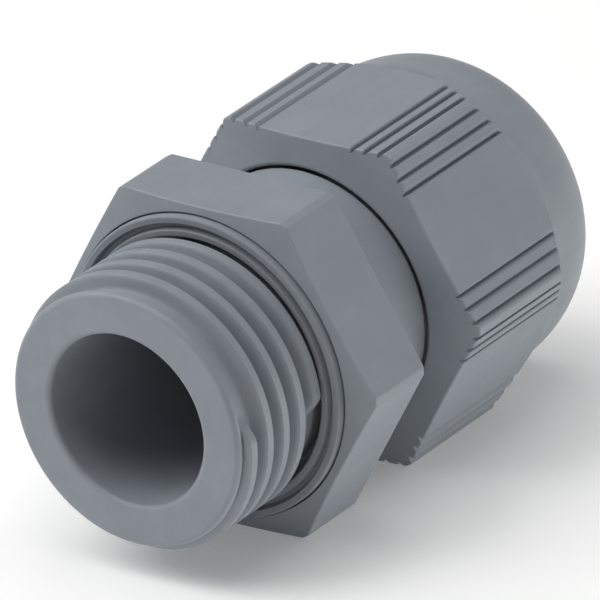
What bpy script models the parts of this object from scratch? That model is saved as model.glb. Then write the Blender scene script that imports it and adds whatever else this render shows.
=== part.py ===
"""Cable gland M16 x 1.5: body with connection thread, sealing ring, sleeve, clamping fingers and dome nut.

The gland lies on its hexagon flats. Its axis runs along Y, with the connection thread toward -Y
and the dome nut toward +Y. Lengths along the axis are counted from the corners of the flange front.
"""

import math

import bmesh
import bpy
from mathutils import Matrix, Vector

MM = 0.001

# Overall sizes, in millimetres
ACROSS_FLATS = 19.0
THREAD_END_Y = -8.2
DOME_END_Y = 25.2
PITCH = 1.5
CABLE_BORE_RADIUS = 5.05

# Connection thread
THREAD_CREST_RADIUS = 7.95
THREAD_DEPTH = 0.55
PILOT_RADIUS = THREAD_CREST_RADIUS - 0.45
NECK_RADIUS = THREAD_CREST_RADIUS - 0.85
THREAD_TURNS = 4.0625
THREAD_FIRST_Y = -7.3
THREAD_START_ANGLE = 12.5
THREAD_CREST_WIDTH = 0.5
THREAD_FLANK_WIDTH = 0.3
END_ROUNDING = 0.35
BORE_ROUNDING = 0.3

# Flange
FLANGE_THICKNESS = 4.62
FLANGE_CORNER_RADIUS = 0.5705 * ACROSS_FLATS
FACE_SLOPE = math.radians(12.5)
SEAL_SEAT_RADIUS = THREAD_CREST_RADIUS + 1.05
SEAL_SEAT_DEPTH = 0.6

# Shank and nut thread on the body, and the seat for the sleeve
NUT_THREAD_CREST_RADIUS = 7.65
NUT_THREAD_DEPTH = 0.6
NUT_THREAD_FIRST_Y = 10.25
NUT_THREAD_TURNS = 1.7
NUT_THREAD_CREST_WIDTH = 0.4
NUT_THREAD_FLANK_WIDTH = 0.32
SHANK_RADIUS = NUT_THREAD_CREST_RADIUS - 0.05
SHANK_END_Y = 9.35
BODY_END_Y = 13.6
SLEEVE_SEAT_RADIUS = 6.2
SLEEVE_SEAT_Y = 9.6

# Clearances
THREAD_CLEARANCE = 0.3
SEAL_CLEARANCE = 0.26
NECK_CLEARANCE = 0.6
SLEEVE_CLEARANCE = 0.25
HINGE_GAP = 0.3

# Sealing ring on the flange face
SEAL_FRONT_Y = -0.74
SEAL_GROOVE_RADIUS = SEAL_SEAT_RADIUS - 0.78
SEAL_GROOVE_WIDTH = 0.32
SEAL_GROOVE_DEPTH = 0.35
SEAL_EDGE = 0.12

# Sleeve
SLEEVE_LENGTH = 7.4
SLEEVE_BORE_RADIUS = 4.5
SLEEVE_TAPER_LENGTH = 3.0
SLEEVE_TAPER_DEPTH = 0.66
SLEEVE_TRAVEL_ROOM = 3.0

# Clamping fingers
FINGER_COUNT = 12
FINGER_THICKNESS = 0.8
FINGER_LENGTH = 6.3
FINGER_ROOT_WIDTH = 2.75
FINGER_TIP_WIDTH = 2.1
FINGER_NOSE_LENGTH = 1.2
FINGER_NOSE_DEPTH = 0.35

# Dome nut
NUT_FRONT_Y = 9.62
NUT_MOUTH_CLEARANCE = 0.2
NUT_CORNER_RADIUS = 0.5715 * ACROSS_FLATS
NUT_HEX_END_Y = 19.45
NUT_CHAMFER_SLOPE = 0.85
NUT_CHAMFER_LAND = 0.15
NUT_RIDGE_TURNS = 1.3
NUT_RELIEF_END_Y = 16.3
NUT_CAVITY_RADIUS = 7.45
NUT_CONE_START_Y = 19.9
NUT_CONE_END_Y = 23.6
CABLE_MOUTH_RADIUS = 5.35
DOME_SHOULDER_RADIUS = ACROSS_FLATS / 2 - 0.08
DOME_SHOULDER_Y = 20.3
DOME_RIM_RADIUS = 6.1
GROOVES_PER_SIDE = 3
GROOVE_FIRST_ANGLE = 2.5
GROOVE_STEP_ANGLE = 4.4
GROOVE_HALF_ANGLE = 1.15
GROOVE_FLOOR_HALF_ANGLE = 0.5
GROOVE_DEPTH = 0.3

COLUMNS = 48
WELD = 1e-7
SNAP = 0.012


def point(radius, angle, y):
    turn = math.radians(angle)
    return Vector((radius * math.cos(turn), y, radius * math.sin(turn))) * MM


def even_angles(start=0.0, count=COLUMNS):
    """Angles in degrees going down, which is clockwise seen from the thread end."""
    return [start - 360.0 * step / count for step in range(count)]


def add_loop(bm, angles, radius, y):
    """One closed loop of vertices. radius and y are numbers or functions of the angle."""
    loop = []
    for angle in angles:
        r = radius(angle) if callable(radius) else radius
        height = y(angle) if callable(y) else y
        loop.append((angle, bm.verts.new(point(r, angle, height))))
    return loop


def join_loops(bm, first, second):
    """Fills the band between two loops, which may have different numbers of vertices."""
    if len(first) == len(second) and all(abs(a[0] - b[0]) < 1e-6 for a, b in zip(first, second)):
        count = len(first)
        for i in range(count):
            j = (i + 1) % count
            bm.faces.new((first[i][1], first[j][1], second[j][1], second[i][1]))
        return
    first = sorted(first, key=lambda item: (-item[0]) % 360.0)
    second = sorted(second, key=lambda item: (-item[0]) % 360.0)
    turns_a = [(-item[0]) % 360.0 for item in first] + [(-first[0][0]) % 360.0 + 360.0]
    turns_b = [(-item[0]) % 360.0 for item in second] + [(-second[0][0]) % 360.0 + 360.0]
    i = j = 0
    while i < len(first) or j < len(second):
        a = first[i % len(first)][1]
        b = second[j % len(second)][1]
        step_a = i < len(first) and (j >= len(second) or turns_a[i + 1] <= turns_b[j + 1])
        if step_a:
            bm.faces.new((a, first[(i + 1) % len(first)][1], b))
            i += 1
        else:
            bm.faces.new((a, second[(j + 1) % len(second)][1], b))
            j += 1


def join_profile(bm, last_loop, rows, angles):
    """Goes on from last_loop through plain rings given as (radius, y), and returns the last ring."""
    for radius, y in rows:
        loop = add_loop(bm, angles, radius, y)
        if last_loop is not None:
            join_loops(bm, last_loop, loop)
        last_loop = loop
    return last_loop


def fade(turn, turns, length=0.042):
    """Thread height from 0 to 1, rising and falling smoothly at its two ends."""
    share = min(turn, turns - turn) / length
    share = max(0.0, min(1.0, share))
    return share * share * (3.0 - 2.0 * share)


def add_thread(bm, start_angle, first_y, turns, base, crest, crest_width, flank_width, low_y, high_y):
    """A helical ridge on a cylinder of radius base, between two plain rings at low_y and high_y."""
    outline = (
        (-crest_width / 2 - flank_width, 0.0),
        (-crest_width / 2, 1.0),
        (crest_width / 2, 1.0),
        (crest_width / 2 + flank_width, 0.0),
    )
    lowest = math.floor((low_y - first_y) / PITCH) - 2
    highest = math.ceil((high_y - first_y) / PITCH) + 2
    grid = []
    for step, angle in enumerate(even_angles(start_angle)):
        column = []
        for whole in range(lowest, highest):
            turn = whole + step / COLUMNS
            for offset, height in outline:
                y = first_y + turn * PITCH + offset
                radius = base + (crest - base) * height * fade(turn, turns)
                if y < low_y + SNAP:
                    y = low_y
                if y > high_y - SNAP:
                    y = high_y
                column.append(bm.verts.new(point(radius, angle, y)))
        grid.append(column)
    last = len(grid[0]) - 1
    shift = len(outline)
    for step in range(COLUMNS):
        here = grid[step]
        there = grid[(step + 1) % COLUMNS]
        over = shift if step == COLUMNS - 1 else 0
        for row in range(last):
            a = there[min(row + over, last)]
            b = there[min(row + 1 + over, last)]
            corners = [here[row], here[row + 1]]
            corners += [b, a] if a is not b else [a]
            bm.faces.new(corners)
    start_ring = [(angle, grid[i][0]) for i, angle in enumerate(even_angles(start_angle))]
    end_ring = [(angle, grid[i][last]) for i, angle in enumerate(even_angles(start_angle))]
    return start_ring, end_ring


def arc(center_radius, center_y, size_radius, size_y, start, stop, steps):
    """Points (radius, y) on an elliptic arc between two angles in degrees."""
    found = []
    for step in range(steps + 1):
        turn = math.radians(start + (stop - start) * step / steps)
        found.append((center_radius + size_radius * math.cos(turn), center_y + size_y * math.sin(turn)))
    return found


def material(name, color, roughness, metallic=0.0):
    made = bpy.data.materials.new(name)
    made.use_nodes = True
    shader = made.node_tree.nodes["Principled BSDF"]
    shader.inputs["Base Color"].default_value = (*color, 1.0)
    shader.inputs["Roughness"].default_value = roughness
    shader.inputs["Metallic"].default_value = metallic
    return made


def finish(name, bm, made_material, parent):
    """Welds the mesh, turns its faces outward and links it under the axis empty."""
    bmesh.ops.remove_doubles(bm, verts=bm.verts, dist=WELD)
    bmesh.ops.recalc_face_normals(bm, faces=bm.faces)
    if bm.calc_volume(signed=True) < 0:
        bmesh.ops.reverse_faces(bm, faces=bm.faces)
    mesh = bpy.data.meshes.new(name)
    bm.to_mesh(mesh)
    bm.free()
    mesh.shade_smooth()
    mesh.set_sharp_from_angle(angle=math.radians(30))
    mesh.materials.append(made_material)
    obj = bpy.data.objects.new(name, mesh)
    bpy.context.scene.collection.objects.link(obj)
    obj.parent = parent
    return obj


def hex_angles(corner_radius):
    """Even columns, with each hexagon corner replaced by the two edges of its round land."""
    half_land = 30.0 - math.degrees(math.acos(ACROSS_FLATS / 2 / corner_radius))
    angles = []
    for angle in even_angles():
        if round(-angle) % 60 == 0:
            angles += [angle + half_land, angle - half_land]
        else:
            angles.append(angle)
    return angles


def hex_radius(angle, corner_radius):
    """Distance from the axis to the hexagon, whose flats face up, down and to four sides."""
    from_flat = (angle - 30.0 + 30.0) % 60.0 - 30.0
    return min(ACROSS_FLATS / 2 / math.cos(math.radians(from_flat)), corner_radius)


def flange_loop(bm, y):
    angles = hex_angles(FLANGE_CORNER_RADIUS)
    return add_loop(bm, angles, lambda a: hex_radius(a, FLANGE_CORNER_RADIUS), y)


def flange_front_y(radius):
    return -(FLANGE_CORNER_RADIUS - radius) * math.tan(FACE_SLOPE)


def make_body(made_material, parent):
    bm = bmesh.new()
    plain = even_angles(THREAD_START_ANGLE)
    root = THREAD_CREST_RADIUS - THREAD_DEPTH
    thread_end = THREAD_FIRST_Y + THREAD_TURNS * PITCH + THREAD_CREST_WIDTH / 2 + THREAD_FLANK_WIDTH + 0.02
    thread_low = THREAD_FIRST_Y - THREAD_CREST_WIDTH / 2 - THREAD_FLANK_WIDTH - 0.02

    front = arc(CABLE_BORE_RADIUS + BORE_ROUNDING, THREAD_END_Y + BORE_ROUNDING,
                BORE_ROUNDING, BORE_ROUNDING, 180, 270, 3)
    front += arc(PILOT_RADIUS - END_ROUNDING, THREAD_END_Y + END_ROUNDING,
                 END_ROUNDING, END_ROUNDING, 270, 360, 3)[:-1]
    first = join_profile(bm, None, front[:1], plain)
    last = join_profile(bm, first, front[1:], plain)
    ring, end_ring = add_thread(bm, THREAD_START_ANGLE, THREAD_FIRST_Y, THREAD_TURNS, root,
                                THREAD_CREST_RADIUS, THREAD_CREST_WIDTH, THREAD_FLANK_WIDTH,
                                thread_low, thread_end)
    join_loops(bm, last, ring)
    last = join_profile(bm, end_ring, ((NECK_RADIUS, thread_end + 0.1),
                                       (NECK_RADIUS, SEAL_SEAT_DEPTH),
                                       (SEAL_SEAT_RADIUS, SEAL_SEAT_DEPTH),
                                       (SEAL_SEAT_RADIUS, flange_front_y(SEAL_SEAT_RADIUS))), plain)
    hex_front = flange_loop(bm, lambda a: flange_front_y(hex_radius(a, FLANGE_CORNER_RADIUS)))
    join_loops(bm, last, hex_front)
    hex_back = flange_loop(bm, FLANGE_THICKNESS)
    join_loops(bm, hex_front, hex_back)

    nut_root = NUT_THREAD_CREST_RADIUS - NUT_THREAD_DEPTH
    low = NUT_THREAD_FIRST_Y - NUT_THREAD_CREST_WIDTH / 2 - NUT_THREAD_FLANK_WIDTH - 0.03
    high = BODY_END_Y - 0.15
    last = join_profile(bm, hex_back, ((SHANK_RADIUS, FLANGE_THICKNESS),
                                       (SHANK_RADIUS, SHANK_END_Y),
                                       (nut_root, SHANK_END_Y)), plain)
    ring, end_ring = add_thread(bm, THREAD_START_ANGLE, NUT_THREAD_FIRST_Y, NUT_THREAD_TURNS, nut_root,
                                NUT_THREAD_CREST_RADIUS, NUT_THREAD_CREST_WIDTH,
                                NUT_THREAD_FLANK_WIDTH, low, high)
    join_loops(bm, last, ring)
    last = join_profile(bm, end_ring, ((nut_root - 0.15, BODY_END_Y),
                                       (SLEEVE_SEAT_RADIUS, BODY_END_Y),
                                       (SLEEVE_SEAT_RADIUS, SLEEVE_SEAT_Y),
                                       (CABLE_BORE_RADIUS, SLEEVE_SEAT_Y)), plain)
    join_loops(bm, last, first)
    return finish("gland_body", bm, made_material, parent)


def make_seal(made_material, parent):
    bm = bmesh.new()
    inner = NECK_RADIUS + NECK_CLEARANCE
    outer = SEAL_SEAT_RADIUS - SEAL_CLEARANCE
    back = SEAL_SEAT_DEPTH - SEAL_CLEARANCE
    floor = SEAL_FRONT_Y + SEAL_GROOVE_DEPTH
    half = SEAL_GROOVE_WIDTH / 2
    rows = (
        (inner, back),
        (inner, SEAL_FRONT_Y + SEAL_EDGE),
        (inner + SEAL_EDGE, SEAL_FRONT_Y),
        (SEAL_GROOVE_RADIUS - half, SEAL_FRONT_Y),
        (SEAL_GROOVE_RADIUS - half / 2, floor),
        (SEAL_GROOVE_RADIUS + half / 2, floor),
        (SEAL_GROOVE_RADIUS + half, SEAL_FRONT_Y),
        (outer - SEAL_EDGE, SEAL_FRONT_Y),
        (outer, SEAL_FRONT_Y + SEAL_EDGE),
        (outer, back),
    )
    first = join_profile(bm, None, rows[:1], even_angles())
    last = join_profile(bm, first, rows[1:], even_angles())
    join_loops(bm, last, first)
    return finish("connection_seal", bm, made_material, parent)


def make_sleeve(made_material, parent):
    bm = bmesh.new()
    outer = SLEEVE_SEAT_RADIUS - SLEEVE_CLEARANCE
    front = SLEEVE_SEAT_Y + SLEEVE_TRAVEL_ROOM
    rear = front + SLEEVE_LENGTH
    rows = (
        (SLEEVE_BORE_RADIUS + 0.3, front),
        (outer - 0.2, front),
        (outer, front + 0.2),
        (outer, rear - SLEEVE_TAPER_LENGTH),
        (outer - SLEEVE_TAPER_DEPTH, rear),
        (SLEEVE_BORE_RADIUS + 0.3, rear),
        (SLEEVE_BORE_RADIUS, rear - 0.3),
        (SLEEVE_BORE_RADIUS, front + 0.3),
    )
    first = join_profile(bm, None, rows[:1], even_angles())
    last = join_profile(bm, first, rows[1:], even_angles())
    join_loops(bm, last, first)
    return finish("sealing_sleeve", bm, made_material, parent)


def make_finger(index, made_material, parent):
    """One finger in its own frame: hinge line along X, length along Y, outward along Z."""
    bm = bmesh.new()
    inner_radius = SLEEVE_SEAT_RADIUS
    hinge_radius = inner_radius + FINGER_THICKNESS / 2
    steps = 4
    sections = (
        (0.0, FINGER_ROOT_WIDTH, 0.0),
        (FINGER_LENGTH - FINGER_NOSE_LENGTH, FINGER_TIP_WIDTH + 0.1, 0.0),
        (FINGER_LENGTH, FINGER_TIP_WIDTH, FINGER_NOSE_DEPTH),
    )
    loops = []
    for y, width, drop in sections:
        half = width / 2 / inner_radius
        loop = []
        for radius in (inner_radius, inner_radius + FINGER_THICKNESS - drop):
            turns = [half * (2 * step / steps - 1) for step in range(steps + 1)]
            if radius > inner_radius:
                turns.reverse()
            for turn in turns:
                position = Vector((radius * math.sin(turn), y, radius * math.cos(turn) - hinge_radius))
                loop.append(bm.verts.new(position * MM))
        loops.append(loop)
    count = len(loops[0])
    for near, far in zip(loops, loops[1:]):
        for i in range(count):
            j = (i + 1) % count
            bm.faces.new((near[i], near[j], far[j], far[i]))
    for loop in (loops[0], loops[-1]):
        for i in range(steps):
            bm.faces.new((loop[i], loop[i + 1], loop[count - 2 - i], loop[count - 1 - i]))
    finger = finish(f"clamp_finger_{index + 1:02d}", bm, made_material, parent)
    angle = 90.0 - 360.0 * index / FINGER_COUNT
    finger.rotation_euler = (0.0, math.radians(90.0 - angle), 0.0)
    finger.location = point(hinge_radius, angle, BODY_END_Y + HINGE_GAP)
    return finger


def nut_angles():
    """Columns at each corner of every groove, at the hexagon corners and along the flats."""
    angles = []
    for corner in range(0, 360, 60):
        angles.append(corner)
        for number in range(GROOVES_PER_SIDE):
            center = GROOVE_FIRST_ANGLE + number * GROOVE_STEP_ANGLE
            for offset in (GROOVE_HALF_ANGLE, GROOVE_FLOOR_HALF_ANGLE):
                for away in (center - offset, center + offset):
                    angles += [corner + away, corner - away]
        for step in (17.0, 21.5, 25.8, 30.0, 34.2, 38.5, 43.0):
            angles.append(corner + step)
    return sorted({round(-(angle % 360.0), 6) for angle in angles}, reverse=True)


def nut_radius(angle):
    """Hexagon with rounded corners, less the depth of a groove where the angle falls in one."""
    from_corner = abs((angle + 30.0) % 60.0 - 30.0)
    for number in range(GROOVES_PER_SIDE):
        center = GROOVE_FIRST_ANGLE + number * GROOVE_STEP_ANGLE
        if abs(from_corner - center) < (GROOVE_HALF_ANGLE + GROOVE_FLOOR_HALF_ANGLE) / 2:
            return hex_radius(angle, NUT_CORNER_RADIUS) - GROOVE_DEPTH
    return hex_radius(angle, NUT_CORNER_RADIUS)


def nut_front_y(radius):
    return NUT_FRONT_Y + (radius - ACROSS_FLATS / 2) * math.tan(FACE_SLOPE)


def nut_rear_y(radius):
    return NUT_HEX_END_Y - (radius - ACROSS_FLATS / 2) / NUT_CHAMFER_SLOPE


def make_nut(made_material, parent):
    bm = bmesh.new()
    plain = even_angles(THREAD_START_ANGLE)
    mouth = NUT_THREAD_CREST_RADIUS + NUT_MOUTH_CLEARANCE
    groove = NUT_THREAD_CREST_RADIUS + THREAD_CLEARANCE
    ridge = NUT_THREAD_CREST_RADIUS - NUT_THREAD_DEPTH + THREAD_CLEARANCE - 0.05
    ridge_width = 0.25
    flank = (groove - ridge) * NUT_THREAD_FLANK_WIDTH / NUT_THREAD_DEPTH
    ridge_first = NUT_THREAD_FIRST_Y + 1.5 * PITCH

    first = add_loop(bm, plain, mouth, nut_front_y(mouth))
    outer = nut_angles()
    hex_front = add_loop(bm, outer, nut_radius, lambda a: nut_front_y(nut_radius(a)))
    join_loops(bm, first, hex_front)
    hex_rear = add_loop(bm, outer, nut_radius, lambda a: nut_rear_y(nut_radius(a)))
    join_loops(bm, hex_front, hex_rear)
    shoulder = add_loop(bm, outer, DOME_SHOULDER_RADIUS, NUT_HEX_END_Y + NUT_CHAMFER_LAND)
    join_loops(bm, hex_rear, shoulder)
    dome = arc(DOME_RIM_RADIUS, DOME_SHOULDER_Y, DOME_SHOULDER_RADIUS - DOME_RIM_RADIUS,
               DOME_END_Y - DOME_SHOULDER_Y, 0, 90, 8)
    last = join_profile(bm, shoulder, dome, plain)
    last = join_profile(bm, last, ((CABLE_MOUTH_RADIUS + 0.3, DOME_END_Y),
                                   (CABLE_MOUTH_RADIUS, DOME_END_Y - 0.3),
                                   (CABLE_MOUTH_RADIUS, NUT_CONE_END_Y),
                                   (NUT_CAVITY_RADIUS, NUT_CONE_START_Y),
                                   (NUT_CAVITY_RADIUS, NUT_RELIEF_END_Y + 0.2),
                                   (groove, NUT_RELIEF_END_Y)), plain)
    low = ridge_first - ridge_width / 2 - flank - 0.03
    high = ridge_first + NUT_RIDGE_TURNS * PITCH + ridge_width / 2 + flank + 0.05
    ring, end_ring = add_thread(bm, THREAD_START_ANGLE, ridge_first, NUT_RIDGE_TURNS, groove, ridge,
                                ridge_width, flank, low, high)
    join_loops(bm, last, end_ring)
    last = join_profile(bm, ring, ((mouth, low - 0.1),), plain)
    join_loops(bm, last, first)
    return finish("dome_nut", bm, made_material, parent)


def main():
    for obj in list(bpy.data.objects):
        bpy.data.objects.remove(obj, do_unlink=True)
    axis = bpy.data.objects.new("gland_axis", None)
    axis.location = Vector((0.0, -(THREAD_END_Y + DOME_END_Y) / 2, ACROSS_FLATS / 2)) * MM
    bpy.context.scene.collection.objects.link(axis)

    polyamide = material("polyamide_body", (0.235, 0.258, 0.279), 0.55)
    polyamide_nut = material("polyamide_nut", (0.240, 0.262, 0.283), 0.5)
    polyamide_finger = material("polyamide_fingers", (0.225, 0.248, 0.269), 0.6)
    seal_rubber = material("grey_seal_rubber", (0.215, 0.235, 0.252), 0.75)
    sleeve_rubber = material("black_sleeve_rubber", (0.018, 0.018, 0.019), 0.8)

    make_body(polyamide, axis)
    make_seal(seal_rubber, axis)
    make_sleeve(sleeve_rubber, axis)
    for index in range(FINGER_COUNT):
        make_finger(index, polyamide_finger, axis)
    make_nut(polyamide_nut, axis)


main()
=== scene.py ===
import math

import bmesh
import bpy
from mathutils import Matrix, Vector


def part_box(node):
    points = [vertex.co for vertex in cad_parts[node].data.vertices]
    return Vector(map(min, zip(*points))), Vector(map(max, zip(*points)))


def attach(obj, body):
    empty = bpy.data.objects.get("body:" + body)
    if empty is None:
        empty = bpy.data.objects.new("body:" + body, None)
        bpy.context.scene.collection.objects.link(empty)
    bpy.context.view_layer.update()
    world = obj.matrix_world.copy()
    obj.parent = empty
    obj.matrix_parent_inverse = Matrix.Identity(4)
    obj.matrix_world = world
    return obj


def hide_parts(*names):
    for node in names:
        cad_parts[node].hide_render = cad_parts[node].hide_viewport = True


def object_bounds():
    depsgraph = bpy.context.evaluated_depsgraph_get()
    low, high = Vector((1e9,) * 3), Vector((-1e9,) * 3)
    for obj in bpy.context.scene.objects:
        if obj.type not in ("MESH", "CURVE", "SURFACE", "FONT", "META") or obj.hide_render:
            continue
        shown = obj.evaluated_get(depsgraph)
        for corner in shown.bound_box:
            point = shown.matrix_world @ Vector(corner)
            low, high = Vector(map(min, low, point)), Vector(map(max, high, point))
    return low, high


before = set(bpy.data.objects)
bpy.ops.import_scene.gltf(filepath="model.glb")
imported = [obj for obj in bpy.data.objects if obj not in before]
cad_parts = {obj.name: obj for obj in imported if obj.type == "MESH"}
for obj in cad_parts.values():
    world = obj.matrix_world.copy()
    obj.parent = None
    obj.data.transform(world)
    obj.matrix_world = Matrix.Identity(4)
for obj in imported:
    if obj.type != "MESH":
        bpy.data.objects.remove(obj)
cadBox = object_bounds()

mm = 0.001
weldDistance = 2e-7  # m, for the seams between strips and threads
collapseDistance = 1e-8  # m, edges shorter than this are dropped
hexSide = 60.0  # degrees taken up by one side of a hexagon
cornerWave = 12.0 * math.pi  # phase in one turn, one wave for each corner of a hexagon
bodyLow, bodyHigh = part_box("gland_body")
gland = {
    "acrossFlats": 19.0,
    "pitch": 1.5,
    "axisHeight": (bodyLow.z + bodyHigh.z) / 2 / mm,  # the gland lies on its flats
    "threadEnd": -8.2,  # lengths along the axis count from the corners of the flange front
    "cableBore": 5.05,
    "gather": 0.6,  # how far the columns crowd towards the hexagon corners
}
placeOnAxis = Matrix.Translation((0.0, bodyLow.y - gland["threadEnd"] * mm, gland["axisHeight"] * mm))


def addNode(tree, kind, settings=None, inputs=None):
    # adds one node; an input given as a socket is linked, any other value is set
    node = tree.nodes.new(kind)
    for name, value in (settings or {}).items():
        setattr(node, name, value)
    for key, value in (inputs or {}).items():
        if isinstance(value, bpy.types.NodeSocket):
            tree.links.new(value, node.inputs[key])
        else:
            node.inputs[key].default_value = value
    return node


def addMath(tree, operation, *values):
    # adds one math node and gives its result
    return addNode(tree, "ShaderNodeMath", {"operation": operation}, dict(enumerate(values))).outputs[0]


def columnAngles(count, gather):
    # degrees going clockwise seen from the thread end, closer together near the hexagon corners
    angles = []
    for step in range(count):
        share = step / count
        angles.append(-360.0 * (share - gather / cornerWave * math.sin(cornerWave * share)))
    return angles


def hexRadius(angle, cornerRadius):
    # radius of the hexagon's outline at this angle, its corners turned down to cornerRadius
    fromFlat = angle % hexSide - hexSide / 2
    return min(gland["acrossFlats"] / 2 / math.cos(math.radians(fromFlat)), cornerRadius)


def filletLine(corners, steps=4, support=0.03):
    # corners are (radius, y, fillet); each fillet becomes an arc with a support point on either side
    line = []
    for number, (radius, y, fillet) in enumerate(corners):
        here = Vector((radius, y))
        if fillet == 0.0 or number in (0, len(corners) - 1):
            line.append(here)
            continue
        back = (Vector(corners[number - 1][:2]) - here).normalized()
        ahead = (Vector(corners[number + 1][:2]) - here).normalized()
        half = back.angle(ahead) / 2
        reach = fillet / math.tan(half)
        center = here + (back + ahead).normalized() * (fillet / math.sin(half))
        start = here + back * reach - center
        sweep = start.angle_signed(here + ahead * reach - center)
        line.append(here + back * (reach + support))
        for step in range(steps + 1):
            turn = -sweep * step / steps
            line.append(center + Matrix.Rotation(turn, 2) @ start)
        line.append(here + ahead * (reach + support))
    return line


def addStrip(bm, angles, profile):
    # sweeps profile(angle), a list of (radius, y), once round the axis
    columns = []
    for angle in angles:
        turn = math.radians(angle)
        across, up = math.cos(turn), math.sin(turn)
        columns.append([bm.verts.new(Vector((r * across, y, r * up)) * mm) for r, y in profile(angle)])
    for number, here in enumerate(columns):
        there = columns[(number + 1) % len(columns)]
        for row in range(len(here) - 1):
            bm.faces.new((here[row], here[row + 1], there[row + 1], there[row]))


def finishPiece(name, bm, material, sharpAngle=35.0):
    # welds the seams, turns the faces outward and puts the piece in its place in the frame
    bmesh.ops.remove_doubles(bm, verts=bm.verts, dist=weldDistance)
    bmesh.ops.dissolve_degenerate(bm, edges=bm.edges, dist=collapseDistance)
    bmesh.ops.recalc_face_normals(bm, faces=bm.faces)
    if bm.calc_volume(signed=True) < 0.0:
        bmesh.ops.reverse_faces(bm, faces=bm.faces)
    openEdges = sum(len(edge.link_faces) != 2 for edge in bm.edges)
    mesh = bpy.data.meshes.new(name)
    bm.to_mesh(mesh)
    bm.free()
    mesh.transform(placeOnAxis)
    mesh.materials.append(material)
    mesh.shade_smooth()
    mesh.set_sharp_from_angle(angle=math.radians(sharpAngle))
    piece = bpy.data.objects.new(name, mesh)
    bpy.context.scene.collection.objects.link(piece)
    print(name, len(mesh.polygons), "faces", openEdges, "open edges")
    return piece


def startTree(name, sizes):
    # a geometry tree with a geometry input and output and one named input for each size
    tree = bpy.data.node_groups.new(name, "GeometryNodeTree")
    tree.interface.new_socket("Geometry", in_out="INPUT", socket_type="NodeSocketGeometry")
    for label, kind in sizes.items():
        tree.interface.new_socket(label, in_out="INPUT", socket_type=kind)
    tree.interface.new_socket("Geometry", in_out="OUTPUT", socket_type="NodeSocketGeometry")
    entry = addNode(tree, "NodeGroupInput")
    return tree, entry.outputs


def runTree(tree, source, values):
    # gives source the tree as a modifier, sets its inputs and returns the plain mesh that comes out
    modifier = source.modifiers.new(tree.name, "NODES")
    modifier.node_group = tree
    for socket in tree.interface.items_tree:
        if socket.item_type == "SOCKET" and socket.in_out == "INPUT" and socket.name in values:
            modifier[socket.identifier] = values[socket.name]
    bpy.context.view_layer.update()
    graph = bpy.context.evaluated_depsgraph_get()
    mesh = bpy.data.meshes.new_from_object(source.evaluated_get(graph))
    source.modifiers.remove(modifier)
    return mesh


def helperObject(name, mesh=None):
    # an object that only carries a tree while a piece is made
    helper = bpy.data.objects.new(name, mesh or bpy.data.meshes.new(name))
    bpy.context.scene.collection.objects.link(helper)
    return helper


def dropHelper(helper):
    bpy.data.objects.remove(helper, do_unlink=True)


def linearColor(hexText):
    # a colour written as it shows on a screen, turned into the linear values that shaders take
    parts = [int(hexText[i:i + 2], 16) / 255 for i in (1, 3, 5)]
    return [p / 12.92 if p <= 0.04045 else ((p + 0.055) / 1.055) ** 2.4 for p in parts] + [1.0]


def perMm(size):
    # the Scale of a pattern on Object coordinates, in metres, whose features are this many mm apart
    return 1.0 / (size * mm)


polyamide = {
    # silver grey polyamide 6 without glass fibre, straight from a spark-eroded mould
    "base": "#8C9299",
    "dark": "#898F96",
    "light": "#90969D",
    "cloudSize": 4.0,  # mm, where the pigment is a touch denser
    "flowSize": 0.9,  # mm across a flow line, drawn out along the axis
    "grainSize": 0.16,  # mm; real eroded grain is about 0.05, drawn coarser so that it shows
    "flowStretch": 0.12,
    "flowShare": 0.35,  # how much of the shading the flow lines give
    "roughness": 0.46,
    "grainDepth": 0.0035,  # mm
}


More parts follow.
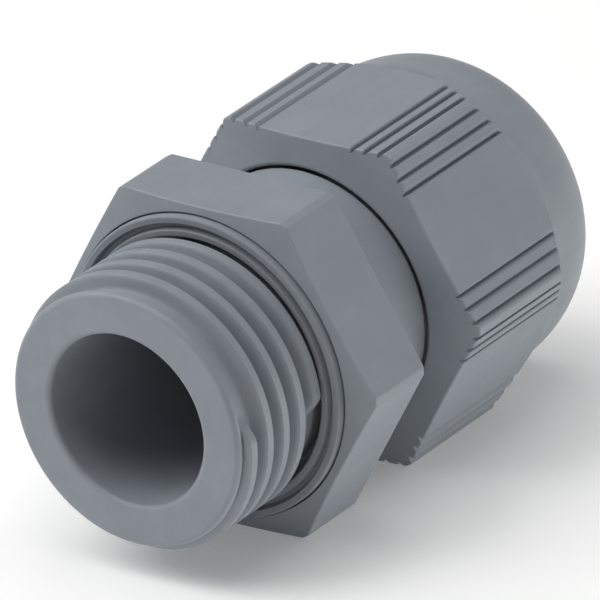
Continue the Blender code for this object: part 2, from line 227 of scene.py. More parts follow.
def mouldedPolyamide(name, shift=0.0, lighter=0.0):
    # moulded PA 6: satin skin, faint clouding and flow lines, fine eroded grain that breaks up the gloss
    made = bpy.data.materials.new(name)
    made.use_nodes = True
    tree = made.node_tree
    shader = tree.nodes["Principled BSDF"]
    place = addNode(tree, "ShaderNodeTexCoord").outputs["Object"]
    moved = addNode(tree, "ShaderNodeMapping", {}, {
        "Vector": place, "Location": (shift, 0.0, 0.0)}).outputs[0]
    cloud = addNode(tree, "ShaderNodeTexNoise", {}, {
        "Vector": moved, "Scale": perMm(polyamide["cloudSize"]), "Detail": 3.0, "Roughness": 0.55})
    drawn = addNode(tree, "ShaderNodeMapping", {}, {
        "Vector": moved, "Scale": (1.0, polyamide["flowStretch"], 1.0)}).outputs[0]
    flow = addNode(tree, "ShaderNodeTexNoise", {}, {
        "Vector": drawn, "Scale": perMm(polyamide["flowSize"]), "Detail": 4.0, "Distortion": 0.6})
    grain = addNode(tree, "ShaderNodeTexNoise", {}, {
        "Vector": moved, "Scale": perMm(polyamide["grainSize"]), "Detail": 2.0, "Roughness": 0.6})
    shade = addNode(tree, "ShaderNodeMix", {"data_type": "FLOAT"}, {
        0: polyamide["flowShare"], 2: cloud.outputs["Fac"], 3: flow.outputs["Fac"]}).outputs[0]
    ramp = addNode(tree, "ShaderNodeValToRGB", {}, {"Fac": shade})
    stops = ramp.color_ramp.elements
    stops[0].position, stops[0].color = 0.34, linearColor(polyamide["dark"])
    stops[1].position, stops[1].color = 0.66, linearColor(polyamide["light"])
    middle = stops.new(0.5)
    middle.color = linearColor(polyamide["base"])
    lift = addNode(tree, "ShaderNodeHueSaturation", {}, {
        "Color": ramp.outputs["Color"], "Value": 1.0 + lighter})
    sheen = addNode(tree, "ShaderNodeMapRange", {}, {
        "Value": grain.outputs["Fac"], "From Min": 0.3, "From Max": 0.7,
        "To Min": polyamide["roughness"] - 0.05, "To Max": polyamide["roughness"] + 0.06})
    relief = addNode(tree, "ShaderNodeBump", {}, {
        "Strength": 0.6, "Distance": polyamide["grainDepth"] * mm, "Height": grain.outputs["Fac"]})
    tree.links.new(lift.outputs["Color"], shader.inputs["Base Color"])
    tree.links.new(sheen.outputs["Result"], shader.inputs["Roughness"])
    tree.links.new(relief.outputs["Normal"], shader.inputs["Normal"])
    shader.inputs["IOR"].default_value = 1.53
    shader.inputs["Specular IOR Level"].default_value = 0.32
    return made


rubber = {
    "roughness": 0.78,
    "grainSize": 0.09,  # mm, mould blast
    "grainDepth": 0.005,  # mm
    "bloomSize": 1.8,  # mm, patches of pale bloom on the skin
}


def mouldedRubber(name, base, bloom):
    # moulded CR rubber: matt skin with a fine blasted grain and a faint uneven bloom
    made = bpy.data.materials.new(name)
    made.use_nodes = True
    tree = made.node_tree
    shader = tree.nodes["Principled BSDF"]
    place = addNode(tree, "ShaderNodeTexCoord").outputs["Object"]
    patches = addNode(tree, "ShaderNodeTexNoise", {}, {
        "Vector": place, "Scale": perMm(rubber["bloomSize"]), "Detail": 4.0, "Roughness": 0.6})
    grain = addNode(tree, "ShaderNodeTexNoise", {}, {
        "Vector": place, "Scale": perMm(rubber["grainSize"]), "Detail": 2.0})
    ramp = addNode(tree, "ShaderNodeValToRGB", {}, {"Fac": patches.outputs["Fac"]})
    stops = ramp.color_ramp.elements
    stops[0].position, stops[0].color = 0.35, linearColor(base)
    stops[1].position, stops[1].color = 0.75, linearColor(bloom)
    sheen = addNode(tree, "ShaderNodeMapRange", {}, {
        "Value": grain.outputs["Fac"], "From Min": 0.3, "From Max": 0.7,
        "To Min": rubber["roughness"] - 0.06, "To Max": rubber["roughness"] + 0.08})
    relief = addNode(tree, "ShaderNodeBump", {}, {
        "Strength": 0.7, "Distance": rubber["grainDepth"] * mm, "Height": grain.outputs["Fac"]})
    tree.links.new(ramp.outputs["Color"], shader.inputs["Base Color"])
    tree.links.new(sheen.outputs["Result"], shader.inputs["Roughness"])
    tree.links.new(relief.outputs["Normal"], shader.inputs["Normal"])
    shader.inputs["IOR"].default_value = 1.52
    shader.inputs["Specular IOR Level"].default_value = 0.25
    return made


bodyPolyamide = mouldedPolyamide("moulded PA6 body, spark-eroded satin")
nutPolyamide = mouldedPolyamide("moulded PA6 dome nut, spark-eroded satin", shift=0.07, lighter=0.01)
fingerPolyamide = mouldedPolyamide("moulded PA6 clamping fingers, satin", shift=0.13)
sealRubber = mouldedRubber("moulded CR sealing ring, matt grey", "#868C93", "#8E9399")
sleeveRubber = mouldedRubber("moulded CR sealing sleeve, matt black", "#26272A", "#34363A")
print("materials ready")


def makeThreadTree():
    # a sheet of rows that follow the helix, rolled round the axis; the ridge rises from root to crest
    tree, size = startTree("helicalThread", {
        "Root Radius": "NodeSocketFloat", "Crest Radius": "NodeSocketFloat", "Pitch": "NodeSocketFloat",
        "Turns": "NodeSocketFloat", "First Y": "NodeSocketFloat", "Start Share": "NodeSocketFloat",
        "Low Y": "NodeSocketFloat", "High Y": "NodeSocketFloat", "Crest Width": "NodeSocketFloat",
        "Flank Width": "NodeSocketFloat", "End Turns": "NodeSocketFloat", "Gather": "NodeSocketFloat",
        "Pitches": "NodeSocketInt", "Pitches Before": "NodeSocketInt", "Columns": "NodeSocketInt",
        "Rows Per Pitch": "NodeSocketInt", "Material": "NodeSocketMaterial"})
    columns = addMath(tree, "ADD", size["Columns"], 1.0)
    rowSteps = addMath(tree, "MULTIPLY", size["Pitches"], size["Rows Per Pitch"])
    rows = addMath(tree, "ADD", rowSteps, 1.0)
    sheet = addNode(tree, "GeometryNodeMeshGrid", {}, {
        "Size X": 1.0, "Size Y": 1.0, "Vertices X": columns, "Vertices Y": rows})
    place = addNode(tree, "GeometryNodeInputPosition").outputs[0]
    spot = addNode(tree, "ShaderNodeSeparateXYZ", {}, {0: place})
    share = addMath(tree, "ADD", spot.outputs["X"], 0.5)
    upRows = addMath(tree, "ADD", spot.outputs["Y"], 0.5)
    # whole numbers of along are the ridge's middle line
    along = addMath(tree, "MULTIPLY", upRows, size["Pitches"])
    # the same crowding of columns as columnAngles gives the turned strips
    wave = addMath(tree, "MULTIPLY", share, cornerWave)
    wave = addMath(tree, "SINE", wave)
    crowd = addMath(tree, "DIVIDE", size["Gather"], cornerWave)
    wave = addMath(tree, "MULTIPLY", wave, crowd)
    turned = addMath(tree, "SUBTRACT", share, wave)
    angle = addMath(tree, "MULTIPLY", turned, -2.0 * math.pi)
    # the number of turns since the thread's start, at the nearest ridge
    nearest = addMath(tree, "ROUND", along)
    before = addMath(tree, "ADD", size["Pitches Before"], size["Start Share"])
    offset = addMath(tree, "SUBTRACT", turned, before)
    turn = addMath(tree, "ADD", nearest, offset)
    left = addMath(tree, "SUBTRACT", size["Turns"], turn)
    toEnd = addMath(tree, "MINIMUM", turn, left)
    fade = addNode(tree, "ShaderNodeMapRange", {"interpolation_type": "SMOOTHSTEP"}, {
        "Value": toEnd, "From Min": 0.0, "From Max": size["End Turns"]}).outputs["Result"]
    # height across the ridge
    aside = addMath(tree, "SUBTRACT", along, nearest)
    aside = addMath(tree, "ABSOLUTE", aside)
    aside = addMath(tree, "MULTIPLY", aside, size["Pitch"])
    halfCrest = addMath(tree, "MULTIPLY", size["Crest Width"], 0.5)
    foot = addMath(tree, "ADD", halfCrest, size["Flank Width"])
    height = addNode(tree, "ShaderNodeMapRange", {"interpolation_type": "SMOOTHSTEP"}, {
        "Value": aside, "From Min": halfCrest, "From Max": foot,
        "To Min": 1.0, "To Max": 0.0}).outputs["Result"]
    height = addMath(tree, "MULTIPLY", height, fade)
    depth = addMath(tree, "SUBTRACT", size["Crest Radius"], size["Root Radius"])
    radius = addMath(tree, "MULTIPLY_ADD", height, depth, size["Root Radius"])
    # rows past either end are gathered on the end ring
    pitches = addMath(tree, "ADD", along, offset)
    y = addMath(tree, "MULTIPLY_ADD", pitches, size["Pitch"], size["First Y"])
    y = addMath(tree, "MAXIMUM", y, size["Low Y"])
    y = addMath(tree, "MINIMUM", y, size["High Y"])
    cosine = addMath(tree, "COSINE", angle)
    sine = addMath(tree, "SINE", angle)
    x = addMath(tree, "MULTIPLY", cosine, radius)
    z = addMath(tree, "MULTIPLY", sine, radius)
    rolled = addNode(tree, "ShaderNodeCombineXYZ", {}, {"X": x, "Y": y, "Z": z}).outputs[0]
    tube = addNode(tree, "GeometryNodeSetPosition", {}, {
        "Geometry": sheet.outputs["Mesh"], "Position": rolled})
    closed = addNode(tree, "GeometryNodeMergeByDistance", {}, {
        "Geometry": tube.outputs[0], "Distance": weldDistance})
    solid = addNode(tree, "GeometryNodeRealizeInstances", {}, {"Geometry": closed.outputs[0]})
    painted = addNode(tree, "GeometryNodeSetMaterial", {}, {
        "Geometry": solid.outputs[0], "Material": size["Material"]})
    addNode(tree, "NodeGroupOutput", {}, {"Geometry": painted.outputs[0]})
    return tree


threadTree = makeThreadTree()
sparePitches = 2  # pitches of rows kept past either end, so that the end rings close all round


def addThread(bm, thread, columns, gather, material):
    # rolls one thread and adds it to bm; thread holds its sizes in mm
    pitch = gland["pitch"]
    startShare = (-thread["startAngle"] / 360.0) % 1.0
    before = math.ceil((thread["firstY"] - thread["low"]) / pitch) + sparePitches
    pitches = before + math.ceil((thread["high"] - thread["firstY"]) / pitch) + sparePitches
    values = {
        "Root Radius": thread["root"] * mm, "Crest Radius": thread["crest"] * mm, "Pitch": pitch * mm,
        "Turns": thread["turns"], "First Y": thread["firstY"] * mm, "Start Share": startShare,
        "Low Y": thread["low"] * mm, "High Y": thread["high"] * mm,
        "Crest Width": thread["crestWidth"] * mm, "Flank Width": thread["flankWidth"] * mm,
        "End Turns": thread["endTurns"], "Gather": gather, "Pitches": pitches, "Pitches Before": before,
        "Columns": columns, "Rows Per Pitch": thread["rowsPerPitch"], "Material": material,
    }
    helper = helperObject("threadHelper")
    mesh = runTree(threadTree, helper, values)
    bm.from_mesh(mesh)
    bpy.data.meshes.remove(mesh)
    dropHelper(helper)


body = {
    "columns": 360,
    "pilot": 7.5,
    "neck": 7.1,
    "endRounding": 0.3,
    "boreRounding": 0.3,
    "flangeThickness": 4.62,
    "flangeCorner": 10.84,
    "faceSlope": 12.5,  # degrees, so that the flange face presses hardest near the seal
    "flangeEdge": 0.12,
    "sealSeat": 9.0,
    "sealSeatDepth": 0.6,
    "shank": 7.62,
    "shankEnd": 9.35,
    "end": 13.6,
    "sleeveSeat": 6.2,
    "sleeveSeatY": 9.6,
    "startAngle": 12.5,
    "threadStep": 0.12,  # along the axis, from the pilot to the thread's root
    "neckStep": 0.1,
    "rearBevel": 0.15,
    "seatEdge": 0.06,
    "shankFoot": 0.1,
    "shankEdge": 0.12,
    "rootEdge": 0.05,
    "sleeveSeatEdge": 0.08,
}
connectionThread = {
    "root": 7.15, "crest": 7.95, "turns": 4.0625, "firstY": -7.38, "startAngle": body["startAngle"],
    "crestWidth": 0.5, "flankWidth": 0.38, "endTurns": 0.035, "rowsPerPitch": 24,
    "low": -7.72, "high": -0.66,
}
nutThread = {
    "root": 7.05, "crest": 7.65, "turns": 1.7, "firstY": 10.25, "startAngle": body["startAngle"],
    "crestWidth": 0.32, "flankWidth": 0.4, "endTurns": 0.05, "rowsPerPitch": 12,
    "low": 9.65, "high": 13.45,
}


def flangeFrontY(radius):
    return -(body["flangeCorner"] - radius) * math.tan(math.radians(body["faceSlope"]))


def bodyFront(angle):
    bore = gland["cableBore"]
    end = gland["threadEnd"]
    low = connectionThread["low"]
    return filletLine([
        (bore, body["sleeveSeatY"], 0.0),
        (bore, end, body["boreRounding"]),
        (body["pilot"], end, body["endRounding"]),
        (body["pilot"], low - body["threadStep"], 0.0),
        (connectionThread["root"], low, 0.0),
    ])


def bodyMiddle(angle):
    edge = hexRadius(angle, body["flangeCorner"])
    back = body["flangeThickness"]
    seat = body["sealSeat"]
    shank = body["shank"]
    shankEnd = body["shankEnd"]
    high = connectionThread["high"]
    return filletLine([
        (connectionThread["root"], high, 0.0),
        (body["neck"], high + body["neckStep"], 0.0),
        (body["neck"], body["sealSeatDepth"], 0.0),
        (seat, body["sealSeatDepth"], 0.0),
        (seat, flangeFrontY(seat), body["seatEdge"]),
        (edge, flangeFrontY(edge), body["flangeEdge"]),
        (edge, back, body["flangeEdge"]),
        (shank, back, body["shankFoot"]),
        (shank, shankEnd, body["shankEdge"]),
        (nutThread["root"], shankEnd, body["rootEdge"]),
        (nutThread["root"], nutThread["low"], 0.0),
    ])


def bodyRear(angle):
    root = nutThread["root"]
    end = body["end"]
    return filletLine([
        (root, nutThread["high"], 0.0),
        (root - body["rearBevel"], end, 0.0),
        (body["sleeveSeat"], end, body["sleeveSeatEdge"]),
        (body["sleeveSeat"], body["sleeveSeatY"], 0.0),
        (gland["cableBore"], body["sleeveSeatY"], 0.0),
    ])


def makeBody():
    angles = columnAngles(body["columns"], gland["gather"])
    bm = bmesh.new()
    for part in (bodyFront, bodyMiddle, bodyRear):
        addStrip(bm, angles, part)
    for thread in (connectionThread, nutThread):
        addThread(bm, thread, body["columns"], gland["gather"], bodyPolyamide)
    piece = finishPiece("glandBody", bm, bodyPolyamide)
    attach(piece, "gland_body")
    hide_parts("gland_body")


makeBody()


seal = {
    "columns": 240,
    "inner": 7.7,
    "outer": 8.93,
    "front": -0.8,
    "back": 0.34,
    "groove": 8.3,
    "grooveWidth": 0.42,
    "grooveDepth": 0.4,
    "edge": 0.12,
    "frontEdge": 0.14,
    "grooveEdge": 0.05,
    "grooveFloorEdge": 0.04,
}


def sealProfile(angle):
    front = seal["front"]
    half = seal["grooveWidth"] / 2
    floor = front + seal["grooveDepth"]
    middle = (front + seal["back"]) / 2
    return filletLine([
        (seal["inner"], middle, 0.0),
        (seal["inner"], front, seal["edge"]),
        (seal["groove"] - half, front, seal["grooveEdge"]),
        (seal["groove"] - half / 2, floor, seal["grooveFloorEdge"]),
        (seal["groove"] + half / 2, floor, seal["grooveFloorEdge"]),
        (seal["groove"] + half, front, seal["grooveEdge"]),
        (seal["outer"], front, seal["frontEdge"]),
        (seal["outer"], seal["back"], seal["edge"]),
        (seal["inner"], seal["back"], seal["edge"]),
        (seal["inner"], middle, 0.0),
    ], steps=3, support=0.01)


def makeSeal():
    bm = bmesh.new()
    addStrip(bm, columnAngles(seal["columns"], 0.0), sealProfile)
    piece = finishPiece("sealingRing", bm, sealRubber)
    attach(piece, "gland_body")
    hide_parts("connection_seal")


makeSeal()


sleeve = {
    "columns": 180,
    "outer": 5.95,
    "bore": 4.5,
    "front": 12.6,
    "length": 7.4,
    "taperLength": 3.0,
    "taperDepth": 0.66,
    "mouth": 0.3,
    "grooves": 4,  # shallow ones round the bore; the rubber between them grips the cable
    "grooveDepth": 0.12,
    "grooveFoot": 0.3,  # share of the span of one groove, from its middle to its edge
    "grooveFloor": 0.12,
    "grooveEdge": 0.05,
    "frontEdge": 0.2,
    "taperEdge": 0.5,
    "rearEdge": 0.12,
}


def sleeveProfile(angle):
    front = sleeve["front"]
    rear = front + sleeve["length"]
    outer = sleeve["outer"]
    bore = sleeve["bore"]
    mouth = sleeve["mouth"]
    edge = sleeve["grooveEdge"]
    corners = [
        (bore + mouth, front, 0.0),
        (outer, front, sleeve["frontEdge"]),
        (outer, rear - sleeve["taperLength"], sleeve["taperEdge"]),
        (outer - sleeve["taperDepth"], rear, sleeve["rearEdge"]),
        (bore + mouth, rear, edge),
        (bore, rear - mouth, edge),
    ]
    span = (sleeve["length"] - 2 * mouth) / sleeve["grooves"]
    for number in range(sleeve["grooves"]):
        middle = rear - mouth - span * (number + 0.5)
        corners.append((bore, middle + span * sleeve["grooveFoot"], edge))
        corners.append((bore + sleeve["grooveDepth"], middle + span * sleeve["grooveFloor"], edge))
        corners.append((bore + sleeve["grooveDepth"], middle - span * sleeve["grooveFloor"], edge))
        corners.append((bore, middle - span * sleeve["grooveFoot"], edge))
    corners.append((bore, front + mouth, edge))
    corners.append((bore + mouth, front, 0.0))
    return filletLine(corners, steps=3, support=0.01)


def makeSleeve():
    bm = bmesh.new()
    addStrip(bm, columnAngles(sleeve["columns"], 0.0), sleeveProfile)
    piece = finishPiece("sealingSleeve", bm, sleeveRubber)
    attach(piece, "sleeve")
    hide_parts("sealing_sleeve")


makeSleeve()


finger = {
    "count": 12,
    "inner": 6.2,
    "thickness": 0.8,
    "start": 13.9,
    "length": 6.3,
    "rootWidth": 2.75,
    "tipWidth": 2.1,
    "noseLength": 1.2,
    "noseDepth": 0.35,
    "edge": 0.08,
    "edgeSegments": 3,
    "edgeAngle": 50.0,  # degrees; flatter edges stay as they are
    "columns": 13,
    "rows": 22,
}


def makeFingerTree():
    # a flat bar, narrowed to its tip and thinned at its nose, bent round the axis and turned to its place
    tree, size = startTree("clampFinger", {
        "Inner Radius": "NodeSocketFloat", "Thickness": "NodeSocketFloat", "Start Y": "NodeSocketFloat",
        "Length": "NodeSocketFloat", "Root Width": "NodeSocketFloat", "Tip Width": "NodeSocketFloat",
        "Nose Length": "NodeSocketFloat", "Nose Depth": "NodeSocketFloat", "Angle": "NodeSocketFloat",
        "Material": "NodeSocketMaterial"})
    bar = addNode(tree, "GeometryNodeMeshCube", {}, {
        "Size": (1.0, 1.0, 1.0), "Vertices X": finger["columns"], "Vertices Y": finger["rows"],
        "Vertices Z": 2})
    place = addNode(tree, "GeometryNodeInputPosition").outputs[0]
    spot = addNode(tree, "ShaderNodeSeparateXYZ", {}, {0: place})
    alongShare = addMath(tree, "ADD", spot.outputs["Y"], 0.5)
    outShare = addMath(tree, "ADD", spot.outputs["Z"], 0.5)
    width = addNode(tree, "ShaderNodeMapRange", {}, {
        "Value": alongShare, "To Min": size["Root Width"], "To Max": size["Tip Width"]}).outputs["Result"]
    across = addMath(tree, "MULTIPLY", spot.outputs["X"], width)
    lean = addMath(tree, "DIVIDE", across, size["Inner Radius"])
    turn = addMath(tree, "SUBTRACT", size["Angle"], lean)
    along = addMath(tree, "MULTIPLY", alongShare, size["Length"])
    noseStart = addMath(tree, "SUBTRACT", size["Length"], size["Nose Length"])
    drop = addNode(tree, "ShaderNodeMapRange", {}, {
        "Value": along, "From Min": noseStart, "From Max": size["Length"],
        "To Min": 0.0, "To Max": size["Nose Depth"]}).outputs["Result"]
    thick = addMath(tree, "SUBTRACT", size["Thickness"], drop)
    out = addMath(tree, "MULTIPLY", outShare, thick)
    radius = addMath(tree, "ADD", out, size["Inner Radius"])
    cosine = addMath(tree, "COSINE", turn)
    sine = addMath(tree, "SINE", turn)
    x = addMath(tree, "MULTIPLY", cosine, radius)
    z = addMath(tree, "MULTIPLY", sine, radius)
    y = addMath(tree, "ADD", along, size["Start Y"])
    bent = addNode(tree, "ShaderNodeCombineXYZ", {}, {"X": x, "Y": y, "Z": z}).outputs[0]
    shaped = addNode(tree, "GeometryNodeSetPosition", {}, {
        "Geometry": bar.outputs["Mesh"], "Position": bent})
    solid = addNode(tree, "GeometryNodeRealizeInstances", {}, {"Geometry": shaped.outputs[0]})
    painted = addNode(tree, "GeometryNodeSetMaterial", {}, {
        "Geometry": solid.outputs[0], "Material": size["Material"]})
    addNode(tree, "NodeGroupOutput", {}, {"Geometry": painted.outputs[0]})
    return tree


def makeFingers():
    tree = makeFingerTree()
    helper = helperObject("fingerHelper")
    for number in range(finger["count"]):
        angle = 90.0 - 360.0 * number / finger["count"]
        mesh = runTree(tree, helper, {
            "Inner Radius": finger["inner"] * mm, "Thickness": finger["thickness"] * mm,
            "Start Y": finger["start"] * mm, "Length": finger["length"] * mm,
            "Root Width": finger["rootWidth"] * mm, "Tip Width": finger["tipWidth"] * mm,
            "Nose Length": finger["noseLength"] * mm, "Nose Depth": finger["noseDepth"] * mm,
            "Angle": math.radians(angle), "Material": fingerPolyamide})
        bm = bmesh.new()
        bm.from_mesh(mesh)
        bpy.data.meshes.remove(mesh)
        piece = finishPiece(f"clampFinger{number + 1:02d}", bm, fingerPolyamide)
        soften = piece.modifiers.new("soften", "BEVEL")
        soften.width = finger["edge"] * mm
        soften.segments = finger["edgeSegments"]
        soften.limit_method = "ANGLE"
        soften.angle_limit = math.radians(finger["edgeAngle"])
        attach(piece, f"finger_{number + 1:02d}")
        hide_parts(f"clamp_finger_{number + 1:02d}")
    dropHelper(helper)


makeFingers()


nut = {
    "columns": 840,
    "front": 9.62,
    "mouth": 7.72,
    "corner": 10.858,
    "hexEnd": 19.45,
    "chamferSlope": 0.85,
    "chamferLand": 0.15,
    "frontEdge": 0.14,
    "frontRing": 0.5,  # in from the edge: a ring of points that keeps the face behind the grooves flat
    "reliefEnd": 16.3,
    "cavity": 7.45,
    "coneStart": 19.9,
    "coneEnd": 23.6,
    "cableMouth": 5.35,
    "mouthRounding": 0.3,
    "shoulder": 9.42,
    "shoulderY": 20.3,
    "rim": 6.1,
    "end": 25.2,
    "groovesPerSide": 3,
    "grooveFirst": 2.5,  # degrees from the hexagon corner
    "grooveStep": 4.4,
    "grooveHalf": 0.95,  # degrees from a groove's middle to its edge
    "grooveFloorHalf": 0.25,
    "grooveDepth": 0.32,
    "threadStep": 0.1,
    "mouthEdge": 0.22,
    "rearLand": 0.2,
    "coneEdge": 0.2,
    "reliefStep": 0.2,
    "reliefEdge": 0.1,
    "chamferSteps": 12,
    "domeSteps": 18,
}
innerThread = {
    "root": 7.95, "crest": 7.3, "turns": 1.3, "firstY": nutThread["firstY"] + 1.5 * gland["pitch"],
    "startAngle": body["startAngle"], "crestWidth": 0.2, "flankWidth": 0.36, "endTurns": 0.05,
    "rowsPerPitch": 12, "low": 12.0, "high": 14.97,
}


def nutFrontY(radius):
    return nut["front"] + (radius - gland["acrossFlats"] / 2) * math.tan(math.radians(body["faceSlope"]))


def nutRearY(radius):
    return nut["hexEnd"] - (radius - gland["acrossFlats"] / 2) / nut["chamferSlope"]


def nutOutside(angle):
    edge = hexRadius(angle, nut["corner"])
    shoulder = (nut["shoulder"], nut["hexEnd"] + nut["chamferLand"])
    line = filletLine([
        (innerThread["root"], innerThread["low"], 0.0),
        (nut["mouth"], innerThread["low"] - nut["threadStep"], 0.0),
        (nut["mouth"], nutFrontY(nut["mouth"]), nut["mouthEdge"]),
        (edge - nut["frontRing"], nutFrontY(edge - nut["frontRing"]), 0.0),
        (edge, nutFrontY(edge), nut["frontEdge"]),
        (edge, nutRearY(edge) - nut["rearLand"], 0.0),
    ])
    start = Vector((edge, nutRearY(edge)))
    for step in range(nut["chamferSteps"] + 1):
        line.append(start.lerp(Vector(shoulder), step / nut["chamferSteps"]))
    across = nut["shoulder"] - nut["rim"]
    along = nut["end"] - nut["shoulderY"]
    for step in range(nut["domeSteps"] + 1):
        turn = math.radians(90.0 * step / nut["domeSteps"])
        radius = nut["rim"] + across * math.cos(turn)
        line.append(Vector((radius, nut["shoulderY"] + along * math.sin(turn))))
    return line


def nutInside(angle):
    mouth = nut["cableMouth"]
    return filletLine([
        (nut["rim"], nut["end"], 0.0),
        (mouth, nut["end"], nut["mouthRounding"]),
        (mouth, nut["coneEnd"], nut["coneEdge"]),
        (nut["cavity"], nut["coneStart"], nut["coneEdge"]),
        (nut["cavity"], nut["reliefEnd"] + nut["reliefStep"], nut["reliefEdge"]),
        (innerThread["root"], nut["reliefEnd"], nut["reliefEdge"]),
        (innerThread["root"], innerThread["high"], 0.0),
    ])


def makeGrooveTree():
    # presses grip grooves into the hexagon beside each corner; what is already further in stays
    tree, size = startTree("gripGrooves", {
        "Across Flats": "NodeSocketFloat", "Corner Radius": "NodeSocketFloat",
        "Inside Radius": "NodeSocketFloat", "Grooves Per Side": "NodeSocketInt",
        "First Angle": "NodeSocketFloat", "Step Angle": "NodeSocketFloat",
        "Half Angle": "NodeSocketFloat", "Floor Half Angle": "NodeSocketFloat",
        "Depth": "NodeSocketFloat", "Middle Y": "NodeSocketFloat", "Face Slope": "NodeSocketFloat",
        "Material": "NodeSocketMaterial"})
    place = addNode(tree, "GeometryNodeInputPosition").outputs[0]
    spot = addNode(tree, "ShaderNodeSeparateXYZ", {}, {0: place})
    angle = addMath(tree, "ARCTAN2", spot.outputs["Z"], spot.outputs["X"])
    angle = addMath(tree, "DEGREES", angle)
    flat = addNode(tree, "ShaderNodeCombineXYZ", {}, {
        "X": spot.outputs["X"], "Z": spot.outputs["Z"]}).outputs[0]
    radius = addNode(tree, "ShaderNodeVectorMath", {"operation": "LENGTH"}, {0: flat}).outputs["Value"]
    aside = addMath(tree, "ADD", angle, hexSide / 2)
    aside = addMath(tree, "FLOORED_MODULO", aside, hexSide)
    aside = addMath(tree, "SUBTRACT", aside, hexSide / 2)
    fromCorner = addMath(tree, "ABSOLUTE", aside)
    # the outline of the hexagon at this angle
    fromFlat = addMath(tree, "SUBTRACT", hexSide / 2, fromCorner)
    fromFlat = addMath(tree, "RADIANS", fromFlat)
    cosine = addMath(tree, "COSINE", fromFlat)
    halfFlats = addMath(tree, "MULTIPLY", size["Across Flats"], 0.5)
    outline = addMath(tree, "DIVIDE", halfFlats, cosine)
    outline = addMath(tree, "MINIMUM", outline, size["Corner Radius"])
    # the nearest groove, counted from the corner
    past = addMath(tree, "SUBTRACT", fromCorner, size["First Angle"])
    number = addMath(tree, "DIVIDE", past, size["Step Angle"])
    number = addMath(tree, "ROUND", number)
    number = addMath(tree, "MAXIMUM", number, 0.0)
    last = addMath(tree, "SUBTRACT", size["Grooves Per Side"], 1.0)
    number = addMath(tree, "MINIMUM", number, last)
    middle = addMath(tree, "MULTIPLY", number, size["Step Angle"])
    off = addMath(tree, "SUBTRACT", past, middle)
    off = addMath(tree, "ABSOLUTE", off)
    pressed = addNode(tree, "ShaderNodeMapRange", {"interpolation_type": "SMOOTHSTEP"}, {
        "Value": off, "From Min": size["Floor Half Angle"], "From Max": size["Half Angle"],
        "To Min": size["Depth"], "To Max": 0.0}).outputs["Result"]
    limit = addMath(tree, "SUBTRACT", outline, pressed)
    newRadius = addMath(tree, "MINIMUM", radius, limit)
    ratio = addMath(tree, "DIVIDE", newRadius, radius)
    x = addMath(tree, "MULTIPLY", spot.outputs["X"], ratio)
    z = addMath(tree, "MULTIPLY", spot.outputs["Z"], ratio)
    # at the front the pressed points slide along the sloping face, so that it stays even
    inward = addMath(tree, "SUBTRACT", radius, newRadius)
    front = addMath(tree, "LESS_THAN", spot.outputs["Y"], size["Middle Y"])
    slide = addMath(tree, "MULTIPLY", inward, size["Face Slope"])
    slide = addMath(tree, "MULTIPLY", slide, front)
    y = addMath(tree, "SUBTRACT", spot.outputs["Y"], slide)
    moved = addNode(tree, "ShaderNodeCombineXYZ", {}, {"X": x, "Y": y, "Z": z}).outputs[0]
    outer = addNode(tree, "FunctionNodeCompare", {"operation": "GREATER_THAN"}, {
        0: radius, 1: size["Inside Radius"]}).outputs["Result"]
    cut = addNode(tree, "GeometryNodeSetPosition", {}, {
        "Geometry": size["Geometry"], "Selection": outer, "Position": moved})
    solid = addNode(tree, "GeometryNodeRealizeInstances", {}, {"Geometry": cut.outputs[0]})
    painted = addNode(tree, "GeometryNodeSetMaterial", {}, {
        "Geometry": solid.outputs[0], "Material": size["Material"]})
    addNode(tree, "NodeGroupOutput", {}, {"Geometry": painted.outputs[0]})
    return tree


def makeNut():
    angles = columnAngles(nut["columns"], gland["gather"])
    shell = bmesh.new()
    addStrip(shell, angles, nutOutside)
    shellMesh = bpy.data.meshes.new("nutShell")
    shell.to_mesh(shellMesh)
    shell.free()
    helper = helperObject("grooveHelper", shellMesh)
    grooved = runTree(makeGrooveTree(), helper, {
        "Across Flats": gland["acrossFlats"] * mm, "Corner Radius": nut["corner"] * mm,
        "Inside Radius": nut["shoulder"] * 0.99 * mm, "Grooves Per Side": nut["groovesPerSide"],
        "First Angle": nut["grooveFirst"], "Step Angle": nut["grooveStep"], "Half Angle": nut["grooveHalf"],
        "Floor Half Angle": nut["grooveFloorHalf"], "Depth": nut["grooveDepth"] * mm,
        "Middle Y": (nut["front"] + nut["hexEnd"]) / 2 * mm,
        "Face Slope": math.tan(math.radians(body["faceSlope"])),
        "Material": nutPolyamide})
    dropHelper(helper)
    bm = bmesh.new()
    bm.from_mesh(grooved)
    bpy.data.meshes.remove(grooved)
    addStrip(bm, angles, nutInside)
    addThread(bm, innerThread, nut["columns"], gland["gather"], nutPolyamide)
    piece = finishPiece("domeNut", bm, nutPolyamide)
    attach(piece, "dome_nut")
    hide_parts("dome_nut")


makeNut()
print("gland ready")


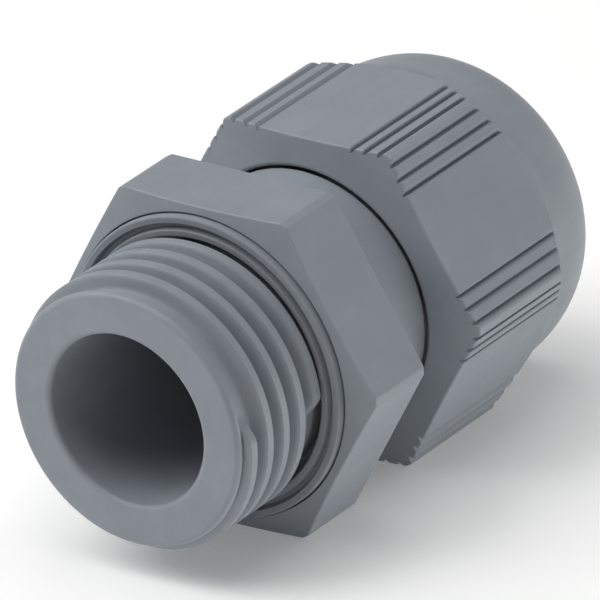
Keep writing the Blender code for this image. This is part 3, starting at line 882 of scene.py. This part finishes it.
studio = {
    "floorColor": "#F4F4F3",
    "floorSize": 3.0,  # m
    "worldColor": "#FFFFFF",
    "worldStrength": 0.18,
    "floorGlow": 0.17,  # emission strength, so that the floor stays nearly white
    "floorRoughness": 0.9,
    "floorSheen": 0.1,
    "floorGap": 0.00002,  # m under the lowest point of the gland
}
lamps = {
    # name: (direction from the gland, distance m, width m, watts)
    "keyLamp": ((-0.55, -0.45, 0.85), 0.5, 0.35, 1.42),
    "leftLamp": ((-0.85, -0.1, 0.65), 0.5, 0.3, 0.3),
    "topLamp": ((0.0, 0.0, 1.0), 0.5, 0.4, 0.95),
    "lowRightLamp": ((0.8, 0.45, -0.3), 0.5, 0.3, 0.85),
    "backLamp": ((0.3, 0.8, 0.5), 0.5, 0.4, 0.25),
}
view = {
    "azimuth": 36.75,
    "elevation": 25.57,
    "roll": -3.92,
    "distance": 0.7753,  # m
    "lens": 854.7,  # mm
    "sensor": 36.0,  # mm
    "nearest": 0.01,  # m
    "farthest": 20.0,  # m
    "target": (3.185, -4.477, 12.253),  # mm
}


def makeFloor():
    half = studio["floorSize"] / 2
    bm = bmesh.new()
    corners = [bm.verts.new((x * half, y * half, 0.0)) for x, y in ((-1, -1), (1, -1), (1, 1), (-1, 1))]
    bm.faces.new(corners)
    mesh = bpy.data.meshes.new("floor")
    bm.to_mesh(mesh)
    bm.free()
    paper = bpy.data.materials.new("white paper sweep")
    paper.use_nodes = True
    tree = paper.node_tree
    shader = tree.nodes["Principled BSDF"]
    shader.inputs["Base Color"].default_value = linearColor(studio["floorColor"])
    shader.inputs["Roughness"].default_value = studio["floorRoughness"]
    shader.inputs["Specular IOR Level"].default_value = studio["floorSheen"]
    shader.inputs["Emission Color"].default_value = linearColor(studio["floorColor"])
    shader.inputs["Emission Strength"].default_value = studio["floorGlow"]
    mesh.materials.append(paper)
    floor = bpy.data.objects.new("floor", mesh)
    floor.location.z = cadBox[0].z - studio["floorGap"]
    bpy.context.scene.collection.objects.link(floor)
    floor.visible_shadow = False  # the low lamp shines up through it


def makeLamps():
    center = (cadBox[0] + cadBox[1]) / 2
    for name, (direction, distance, width, watts) in lamps.items():
        light = bpy.data.lights.new(name, "AREA")
        light.size = width
        light.energy = watts
        lamp = bpy.data.objects.new(name, light)
        away = Vector(direction).normalized()
        lamp.visible_camera = False
        lamp.location = center + away * distance
        lamp.rotation_euler = away.to_track_quat("Z", "Y").to_euler()
        bpy.context.scene.collection.objects.link(lamp)


def makeWorld():
    world = bpy.data.worlds.new("studio")
    bpy.context.scene.world = world
    world.use_nodes = True
    back = world.node_tree.nodes["Background"]
    back.inputs["Color"].default_value = linearColor(studio["worldColor"])
    back.inputs["Strength"].default_value = studio["worldStrength"]


def makeCamera():
    turn = math.radians(view["azimuth"])
    rise = math.radians(view["elevation"])
    back = Vector((math.sin(turn) * math.cos(rise), -math.cos(turn) * math.cos(rise), math.sin(rise)))
    lens = bpy.data.cameras.new("camera")
    lens.sensor_width = view["sensor"]
    lens.lens = view["lens"]
    lens.clip_start = view["nearest"]
    lens.clip_end = view["farthest"]
    camera = bpy.data.objects.new("camera", lens)
    camera.rotation_mode = "QUATERNION"
    camera.rotation_quaternion = back.to_track_quat("Z", "Y") @ Matrix.Rotation(
        math.radians(view["roll"]), 4, "Z").to_quaternion()
    camera.location = Vector(view["target"]) * mm + back * view["distance"]
    bpy.context.scene.collection.objects.link(camera)
    bpy.context.scene.camera = camera


makeFloor()
makeLamps()
makeWorld()
makeCamera()
bpy.context.scene.view_settings.view_transform = "Standard"
print("studio ready")
